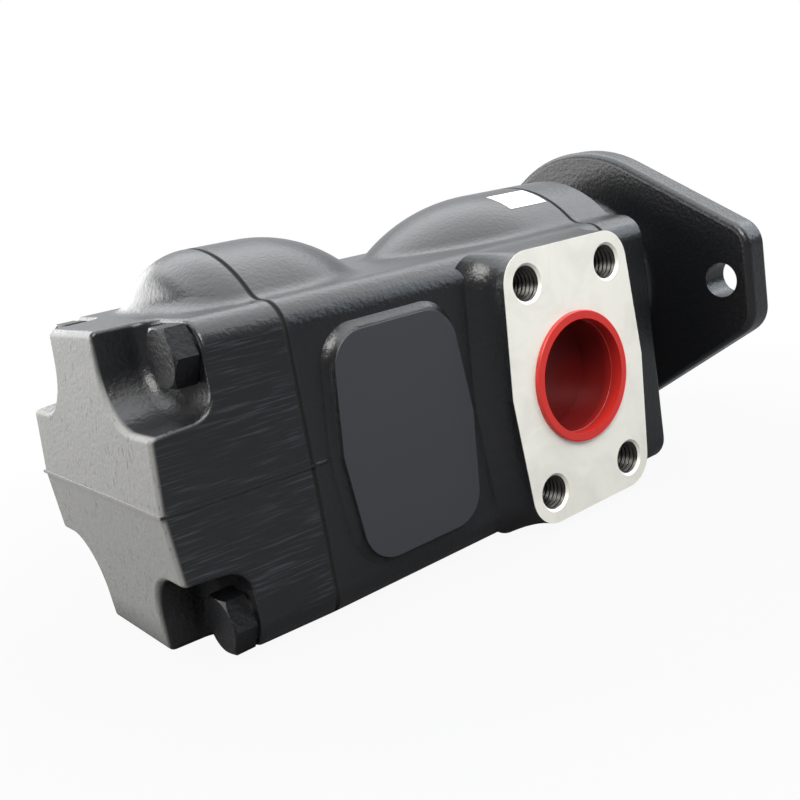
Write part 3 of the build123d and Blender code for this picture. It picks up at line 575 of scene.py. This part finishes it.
def metal_material(name, colour, roughness, scale, stretch=(1.0, 1.0, 1.0)):
    """Bare metal with fine lathe or grinding lines."""
    material, tree, shader, vector = new_material(name)
    lines = noise_node(tree, stretched(tree, vector, tuple(scale * s for s in stretch)), 1.0, 2.0, 0.5)
    blotch = noise_node(tree, vector, 120.0, 3.0, 0.5)
    tint = mix_colours(tree, math_node(tree, "MULTIPLY", blotch, 0.35), colour,
                       tuple(0.6 * c for c in colour))
    wire(tree, tint, shader.inputs["Base Color"])
    wire(tree, math_node(tree, "ADD", roughness, math_node(tree, "MULTIPLY", lines, 0.18)),
         shader.inputs["Roughness"])
    wire(tree, bump(tree, math_node(tree, "MULTIPLY", lines, 0.01 * MM)), shader.inputs["Normal"])
    shader.inputs["Metallic"].default_value = 1.0
    return material


def plastic_material(name, colour):
    """Moulded polythene with a faint waxy bloom, and painted shade that deepens the colour down inside
    the cups.
    """
    material, tree, shader, vector = new_material(name)
    axes = split_axes(tree, vector)
    near_depth = math_node(tree, "SUBTRACT", axes[1], INLET_FACE)
    far_depth = math_node(tree, "SUBTRACT", OUTLET_FACE, axes[1])
    cup_painted_shade = math_node(tree, "MULTIPLY", between(tree, near_depth, -0.5 * MM, 7 * MM),
                     between(tree, far_depth, -0.5 * MM, 5 * MM))
    bloom = noise_node(tree, vector, 160.0, 3.0, 0.5)
    fine = noise_node(tree, vector, 1800.0, 2.0, 0.5)
    tint = mix_colours(tree, math_node(tree, "MULTIPLY", bloom, 0.25),
                       tuple(colour), tuple(0.8 * c + 0.01 for c in colour))
    # Painted shade: the colour darkens with depth down inside the cups, where light does not reach.
    tint = mix_colours(tree, math_node(tree, "MULTIPLY", cup_painted_shade, 0.86), tint,
                       (0.16 * colour[0], 0.25 * colour[1], 0.4 * colour[2]))
    wire(tree, tint, shader.inputs["Base Color"])
    wire(tree, math_node(tree, "ADD", 0.30, math_node(tree, "MULTIPLY", bloom, 0.12)),
         shader.inputs["Roughness"])
    wire(tree, bump(tree, math_node(tree, "MULTIPLY", fine, 0.01 * MM)), shader.inputs["Normal"])
    return material


def rubber_material(name):
    """Matt black nitrile."""
    material, tree, shader, vector = new_material(name)
    fine = noise_node(tree, vector, 1400.0, 3.0, 0.6)
    dust = noise_node(tree, vector, 90.0, 4.0, 0.6)
    wire(tree, mix_colours(tree, math_node(tree, "MULTIPLY", dust, 0.4), (0.018, 0.018, 0.019),
                           (0.05, 0.05, 0.052)), shader.inputs["Base Color"])
    wire(tree, math_node(tree, "ADD", 0.55, math_node(tree, "MULTIPLY", dust, 0.2)),
         shader.inputs["Roughness"])
    wire(tree, bump(tree, math_node(tree, "MULTIPLY", fine, 0.03 * MM)), shader.inputs["Normal"])
    return material


def paper_material(name):
    """Blank white sticker with a little grime in patches."""
    material, tree, shader, vector = new_material(name)
    grime = noise_node(tree, vector, 220.0, 4.0, 0.6)
    wire(tree, mix_colours(tree, math_node(tree, "MULTIPLY", between(tree, grime, 0.5, 0.8), 0.3),
                           (0.83, 0.83, 0.82), (0.60, 0.60, 0.59)), shader.inputs["Base Color"])
    wire(tree, math_node(tree, "ADD", 0.35, math_node(tree, "MULTIPLY", grime, 0.15)),
         shader.inputs["Roughness"])
    return material


MATERIALS = {}


def build_materials():
    """Every finish, by the record's slot name."""
    groups = {"paint": cast_paint_group(), "machined": machined_group()}
    plug_colour = tuple(bpy.context.scene.pump_ports.plug_colour)
    MATERIALS.update({
        "housing": casting_material("Housing paint", groups, machined=housing_machined, flat=pad_flat),
        "end_cap": casting_material("End cap paint", groups, ground=end_ground, rear=end_rear_and_painted_sheen),
        "mounting_cap": casting_material("Mounting cap paint", groups, machined=cap_machined),
        "black_casting": casting_material("Flash paint", groups),
        "black_bolt": casting_material("Bolt paint", groups, shine=0.2),
        "ground_steel": metal_material("Ground steel", (0.56, 0.56, 0.57), 0.22, 900.0, (1.0, 0.2, 0.2)),
        "bearing_steel": metal_material("Bearing steel", (0.66, 0.66, 0.67), 0.10, 900.0),
        "pressed_steel": metal_material("Pressed steel", (0.48, 0.48, 0.49), 0.30, 400.0),
        "spring_steel": metal_material("Phosphated steel", (0.16, 0.16, 0.17), 0.42, 900.0),
        "bronze": metal_material("Sintered bronze", (0.55, 0.36, 0.16), 0.36, 1200.0),
        "seal_rubber": rubber_material("Nitrile rubber"),
        "plate_iron": metal_material("Ground iron", (0.40, 0.40, 0.41), 0.34, 1000.0),
        "cam_steel": metal_material("Cam steel", (0.52, 0.52, 0.54), 0.24, 1000.0, (0.2, 1.0, 1.0)),
        "red_plastic": plastic_material("Red polythene", plug_colour),
        "sticker": paper_material("Sticker paper"),
        "thread_steel": metal_material("Tapped thread", (0.075, 0.072, 0.068), 0.30, 900.0),
    })


# ---------------------------------------------------------------- operators


class PUMP_OT_finishes(bpy.types.Operator):
    """Give every CAD piece its finish"""

    bl_idname = "pump.finishes"
    bl_label = "Finish the Pump's Pieces"

    def execute(self, context):
        build_materials()
        slots = {entry["node"]: entry["material_slot"] for entry in frame["record"]["subparts"]}
        for name, node in frame["nodes"].items():
            finish = MATERIALS.get(name) or MATERIALS.get(slots[name])
            if finish is None:
                raise RuntimeError(f"No finish for {name}")
            node.data.materials.clear()
            node.data.materials.append(finish)
        return {"FINISHED"}


def thread_sleeve(name, centre_x, face_y, centre_z, side, radius, pitch, material):
    """Internal thread as a closed sleeve.

    The inner wall's radius is the hole's radius less a triangular wave of the angle and the
    depth, so that its crest winds down the hole by one pitch a turn; the outer wall is plain.
    """
    turns = 48
    rows_a_pitch = 10
    rows = int(THREAD_DEPTH / pitch * rows_a_pitch)
    angle = np.linspace(0, 2 * pi, turns, endpoint=False)
    along = np.linspace(0, THREAD_DEPTH, rows)
    a, d = np.meshgrid(angle, along)
    phase = (d / pitch - a / (2 * pi)) % 1.0
    wave = 1 - np.abs(2 * phase - 1)
    fade = np.clip(d / (0.6 * pitch), 0, 1)
    inner = radius - 0.02 * MM - pitch * TOOTH_SHARE * wave * fade
    outer = np.full_like(inner, radius - 0.005 * MM)
    radii = np.concatenate([inner, outer[::-1]])
    depths = np.concatenate([d, d[::-1]])
    angles = np.concatenate([a, a])
    x = centre_x + radii * np.cos(angles)
    z = centre_z + radii * np.sin(angles)
    y = face_y - side * depths
    points = np.stack([x, y, z], -1).reshape(-1, 3)
    faces = grid_faces(2 * rows, turns, close_rows=True)
    if side < 0:
        faces = [face[::-1] for face in faces]
    return make_object(name, points, faces, "casing", material)


class PUMP_OT_threads(bpy.types.Operator):
    """Cut threads into the ports' bolt holes"""

    bl_idname = "pump.threads"
    bl_label = "Thread the Port Holes"

    def execute(self, context):
        ports = context.scene.pump_ports
        steel = MATERIALS["thread_steel"]
        for number, (x, _, z) in enumerate(hole_spots("inlet_bolts"), start=1):
            thread_sleeve(f"inlet_thread_{number}", x, INLET_FACE + THREAD_START, z, -1,
                          INLET_HOLE_RADIUS, ports.thread_pitch, steel)
        for port in (1, 2):
            for number, (x, _, z) in enumerate(hole_spots(f"outlet_{port}_bolts"), start=1):
                thread_sleeve(f"outlet_{port}_thread_{number}", x, OUTLET_FACE - THREAD_START, z, 1,
                              OUTLET_HOLE_RADIUS, ports.outlet_pitch, steel)
        return {"FINISHED"}


def revolved(name, centre_x, centre_z, profile, material, turns=96):
    """Closed ring: the profile's (radius, y) points are carried round a line along Y."""
    angle = np.linspace(0, 2 * pi, turns, endpoint=False)
    radii, ys = np.array(profile).T[:, :, None]
    x = centre_x + radii * np.cos(angle)
    z = centre_z + radii * np.sin(angle)
    points = np.stack([x, np.broadcast_to(ys, x.shape), z], -1).reshape(-1, 3)
    return make_object(name, points, grid_faces(len(profile), turns, close_rows=True), "casing",
                       material)


class PUMP_OT_mouldings(bpy.types.Operator):
    """Add the beads and gate marks moulded in the shipping plugs"""

    bl_idname = "pump.mouldings"
    bl_label = "Mould the Plugs' Beads"

    def execute(self, context):
        """Beads are rings whose section is a circle; gate marks are low domes with a flat foot."""
        plastic = MATERIALS["red_plastic"]
        for name in ("inlet_plug", "outlet_plug_1", "outlet_plug_2"):
            low, high = node_box(name)
            x, z = (low[0] + high[0]) / 2, (low[2] + high[2]) / 2
            side = -1 if high[1] < 0 else 1
            rim, floor = (low[1], high[1]) if side < 0 else (high[1], low[1])
            rim_radius = (high[0] - low[0]) / 2
            wall = rim_radius - PLUG_RIM - PLUG_WALL
            turn = np.linspace(0, 2 * pi, 12, endpoint=False)
            bead = [(wall - 0.05 * MM + BEAD * cos(t), rim - side * BEAD_DEPTH + BEAD * sin(t))
                    for t in turn]
            revolved(f"{name}_bead", x, z, bead[::-1], plastic)
            top = floor + side * (PLUG_WALL + GATE_HEIGHT)
            foot = floor + side * (PLUG_WALL - 0.3 * MM)
            edge = 0.3 * MM
            dome = [(0.02 * MM, foot), (GATE_RADIUS, foot), (GATE_RADIUS, top - side * edge),
                    (GATE_RADIUS - edge, top), (0.02 * MM, top)]
            revolved(f"{name}_gate", x, z, dome if side > 0 else dome[::-1], plastic, turns=32)
        return {"FINISHED"}


def parting_run(xs, ys):
    """Points in the parting plane at the given X and Y, either of which may be one number."""
    xs, ys = np.broadcast_arrays(xs, ys)
    return np.stack([xs, ys, np.full(xs.shape, PARTING_Z)], -1)


def flash_strip(name, stations, outward, heights, material):
    """Low ridge along a run of points.

    At each station the section is a triangle whose foot is FLASH_FOOT wide in Z and sunk a little
    under the casting's skin, and whose crest stands out by that station's height.
    """
    half = np.array([0, 0, FLASH_FOOT / 2])
    cup_painted_shade = stations - outward * FLASH_SUNK
    crest = stations + outward * heights[:, None]
    rows = np.stack([cup_painted_shade - half, crest - half * 0.25, crest + half * 0.25, cup_painted_shade + half], 1)
    count = len(stations)
    points = rows.reshape(-1, 3)
    last = 4 * (count - 1)
    faces = grid_faces(count, 4)
    faces += [[0, 3, 2, 1], [last, last + 1, last + 2, last + 3]]
    corner, across, opposite = points[faces[0][:3]]
    facing = np.cross(across - corner, opposite - corner)
    outwards = points[faces[0]].mean(0) - points[:8].mean(0)
    if np.dot(facing, outwards) < 0:
        faces = [face[::-1] for face in faces]
    return make_object(name, points, faces, "casing", material, smooth=False)


class PUMP_OT_flash(bpy.types.Operator):
    """Leave the mould's parting flash on the castings"""

    bl_idname = "pump.flash"
    bl_label = "Add the Parting Flash"

    def execute(self, context):
        """Heights are a sum of three sines of the distance along the run, so they wander."""
        paint = MATERIALS["black_casting"]
        face = END_LOW[0] + RIDGE
        reach = HALF_WIDTH - SIDE_TAPER - 3 * MM
        xs = np.linspace(face + 3 * MM, JOINT_X - 0.8 * MM, 120)
        drawn = SIDE_TAPER / END_LENGTH * (JOINT_X - xs)
        runs = (
            ("rear_flash", parting_run(face, np.linspace(-reach, reach, 200)),
             (-1.0, 0.0, 0.0), 0.10 * MM, 0.33 * MM),
            ("far_cap_flash", parting_run(xs, HALF_WIDTH - drawn),
             (0.0, 1.0, 0.0), 0.15 * MM, 0.60 * MM),
            ("near_joint_flash", parting_run(np.linspace(JOINT_X + 0.8 * MM, JOINT_X + 8 * MM, 40),
                                             -HALF_WIDTH),
             (0.0, -1.0, 0.0), 0.2 * MM, 0.9 * MM),
        )
        for name, stations, outward, low, high in runs:
            steps = np.linalg.norm(np.diff(stations, axis=0), axis=1)
            distance = np.concatenate([[0], np.cumsum(steps)])
            wave = sum(np.sin(distance * k + k) for k in FLASH_WAVES) / len(FLASH_WAVES)
            ends = np.minimum(distance, distance[-1] - distance) / (2 * MM)
            heights = (low + (high - low) * (0.5 + 0.5 * wave)) * np.clip(ends, 0.0, 1.0)
            flash_strip(name, stations, np.array(outward), heights, paint)
        return {"FINISHED"}


class PUMP_OT_sticker(bpy.types.Operator):
    """Put the blank sticker on the front barrel"""

    bl_idname = "pump.sticker"
    bl_label = "Add the Blank Sticker"

    def execute(self, context):
        """A patch of the barrel's cylinder: the angle runs round the barrel, x along it."""
        label = context.scene.pump_sticker
        barrel = HOUSING_HIGH[2]
        rows, columns = 17, 33
        half_angle = label.width / barrel / 2
        angles = np.linspace(-half_angle, half_angle, columns) + label.angle
        front = FRONT_X - label.setback
        x, a = np.meshgrid(np.linspace(front - label.length, front, rows), angles, indexing="ij")
        layers = [np.stack([x, -radius * np.sin(a), radius * np.cos(a)], -1).reshape(-1, 3)
                  for radius in (barrel + 0.02 * MM, barrel + 0.16 * MM)]
        count = rows * columns
        under = grid_faces(rows, columns, close_columns=False)
        faces = [[i + count for i in face] for face in under] + [face[::-1] for face in under]
        index = np.arange(count).reshape(rows, columns)
        ring = [*index[:, 0], *index[-1, 1:], *index[-2::-1, -1], *index[0, -2:0:-1]]
        ring = [int(i) for i in ring]
        for here, there in zip(ring, ring[1:] + ring[:1]):
            faces.append([here, there, there + count, here + count])
        make_object("sticker", np.concatenate(layers), faces, "casing",
                    MATERIALS["sticker"], smooth=False)
        return {"FINISHED"}


LAMPS = (  # name, place, size, watts, colour
    ("key_lamp", (-0.75, -0.90, 1.10), (0.8, 0.8), 26.0, (1.0, 0.99, 0.96)),
    ("rear_lamp", (-0.95, 1.00, 0.12), (3.0, 1.0), 40.0, (1.0, 0.99, 0.98)),
    ("side_lamp", (1.10, -0.70, 0.72), (1.3, 0.9), 12.0, (0.84, 0.92, 1.0)),
    ("top_lamp", (0.10, 0.25, 1.25), (3.0, 2.0), 63.0, (0.96, 0.98, 1.0)),
)
LAMP_AIM = Vector((-0.13, 0, -0.02))


class PUMP_OT_studio(bpy.types.Operator):
    """Set up the floor, the lamps, the sky and the camera"""

    bl_idname = "pump.studio"
    bl_label = "Set Up the Studio"

    def execute(self, context):
        studio = context.scene.pump_studio
        scene = context.scene
        scene.view_settings.view_transform = "Standard"

        floor_mesh = bpy.data.meshes.new("floor")
        reach, drop = 3.0, CAD_BOX[0][2] - 0.2 * MM
        floor_mesh.from_pydata([(-reach, -reach, drop), (reach, -reach, drop), (reach, reach, drop),
                                (-reach, reach, drop)], [], [(0, 1, 2, 3)])
        floor = bpy.data.objects.new("floor", floor_mesh)
        scene.collection.objects.link(floor)
        floor_mesh.materials.append(floor_material())
        build_world(studio.world_level)

        for name, place, size, power, tint in LAMPS:
            light = bpy.data.lights.new(name, "AREA")
            light.shape = "RECTANGLE"
            light.size, light.size_y = size
            light.energy = power
            light.color = tint
            lamp = bpy.data.objects.new(name, light)
            lamp.location = place
            aim = LAMP_AIM - Vector(place)
            lamp.rotation_euler = aim.to_track_quat("-Z", "Y").to_euler()
            scene.collection.objects.link(lamp)

        data = bpy.data.cameras.new("camera")
        data.lens = studio.lens
        data.sensor_width = 36.0
        data.clip_start = 0.01
        data.clip_end = 20.0
        camera = bpy.data.objects.new("camera", data)
        scene.collection.objects.link(camera)
        camera.matrix_world = camera_matrix(studio)
        scene.camera = camera
        return {"FINISHED"}


def camera_matrix(studio):
    """Camera looking along the azimuth and elevation, then rolled about its line of sight."""
    azimuth, elevation, roll = studio.azimuth, studio.elevation, studio.roll
    back = Vector((sin(azimuth) * cos(elevation), -cos(azimuth) * cos(elevation), sin(elevation)))
    right = (-back).cross(Vector((0, 0, 1))).normalized()
    up = right.cross(-back)
    turned_right = right * cos(roll) + up * sin(roll)
    turned_up = up * cos(roll) - right * sin(roll)
    axes = Matrix((turned_right, turned_up, back)).transposed().to_4x4()
    return Matrix.Translation(Vector(studio.eye)) @ axes


def floor_material():
    """Pale floor: white to the camera but for a faint shade under the pump, mid grey to the light."""
    material, tree, shader, vector = new_material("Studio floor")
    output = next(node for node in tree.nodes if node.type == "OUTPUT_MATERIAL")
    shader.inputs["Base Color"].default_value = (0.13, 0.13, 0.135, 1)
    shader.inputs["Roughness"].default_value = 0.8
    paths = tree.nodes.new("ShaderNodeLightPath")
    glow = tree.nodes.new("ShaderNodeEmission")
    glow.inputs["Strength"].default_value = 1.0
    axes = split_axes(tree, vector)
    reach = distance_to_line(tree, axes[0], axes[1], LAMP_AIM[0], LAMP_AIM[1])
    white = mix_values(tree, between(tree, reach, 0.16, 0.34), 0.93, 1.0)
    blend = tree.nodes.new("ShaderNodeMixShader")
    wire(tree, math_node(tree, "MULTIPLY", paths.outputs["Is Camera Ray"], white), blend.inputs[0])
    wire(tree, shader.outputs[0], blend.inputs[1])
    wire(tree, glow.outputs[0], blend.inputs[2])
    wire(tree, blend.outputs[0], output.inputs["Surface"])
    return material


def build_world(level):
    """Pale sky, brightest behind the pump and dim in front, white where the camera sees it."""
    world = bpy.data.worlds.new("Studio sky")
    bpy.context.scene.world = world
    world.use_nodes = True
    tree = world.node_tree
    tree.nodes.clear()
    output = tree.nodes.new("ShaderNodeOutputWorld")
    coordinates = tree.nodes.new("ShaderNodeTexCoord")
    axes = split_axes(tree, coordinates.outputs["Generated"])
    behind = between(tree, axes[1], -0.15, 0.45)
    strength = mix_values(tree, behind, level * 0.2, level * 1.6)
    sky = tree.nodes.new("ShaderNodeBackground")
    sky.inputs["Color"].default_value = (0.95, 0.97, 1.0, 1)
    wire(tree, strength, sky.inputs["Strength"])
    white = tree.nodes.new("ShaderNodeBackground")
    white.inputs["Color"].default_value = (1, 1, 1, 1)
    white.inputs["Strength"].default_value = 1.0
    paths = tree.nodes.new("ShaderNodeLightPath")
    seen = math_node(tree, "MAXIMUM", paths.outputs["Is Camera Ray"],
                     paths.outputs["Is Transmission Ray"])
    blend = tree.nodes.new("ShaderNodeMixShader")
    wire(tree, seen, blend.inputs[0])
    wire(tree, sky.outputs[0], blend.inputs[1])
    wire(tree, white.outputs[0], blend.inputs[2])
    wire(tree, blend.outputs[0], output.inputs["Surface"])


class PUMP_PT_panel(bpy.types.Panel):
    """Sidebar panel that lists the pump's operators and settings"""

    bl_idname = "PUMP_PT_panel"
    bl_label = "Vane Pump"
    bl_space_type = "VIEW_3D"
    bl_region_type = "UI"
    bl_category = "Vane Pump"

    def draw(self, context):
        for operator in OPERATORS:
            self.layout.operator(operator.bl_idname)
        for group in ("pump_castings", "pump_ports", "pump_sticker", "pump_studio"):
            settings = getattr(context.scene, group)
            box = self.layout.box()
            for label in settings.bl_rna.properties.keys():
                if label not in ("name", "rna_type"):
                    box.prop(settings, label)


SETTINGS = {
    "pump_castings": CastingSettings,
    "pump_ports": PortSettings,
    "pump_sticker": StickerSettings,
    "pump_studio": StudioSettings,
}
OPERATORS = (PUMP_OT_finishes, PUMP_OT_threads, PUMP_OT_mouldings, PUMP_OT_flash, PUMP_OT_sticker,
             PUMP_OT_studio)


def register():
    for group in SETTINGS.values():
        bpy.utils.register_class(group)
    for name, group in SETTINGS.items():
        setattr(bpy.types.Scene, name, PointerProperty(type=group))
    for operator in OPERATORS:
        bpy.utils.register_class(operator)
    bpy.utils.register_class(PUMP_PT_panel)


def unregister():
    bpy.utils.unregister_class(PUMP_PT_panel)
    for operator in reversed(OPERATORS):
        bpy.utils.unregister_class(operator)
    for name in SETTINGS:
        delattr(bpy.types.Scene, name)
    for group in SETTINGS.values():
        bpy.utils.unregister_class(group)


def main():
    """Builds everything in order."""
    register()
    bpy.ops.pump.finishes()
    bpy.ops.pump.threads()
    bpy.ops.pump.mouldings()
    bpy.ops.pump.flash()
    bpy.ops.pump.sticker()
    bpy.ops.pump.studio()


if __name__ == "__main__":
    main()
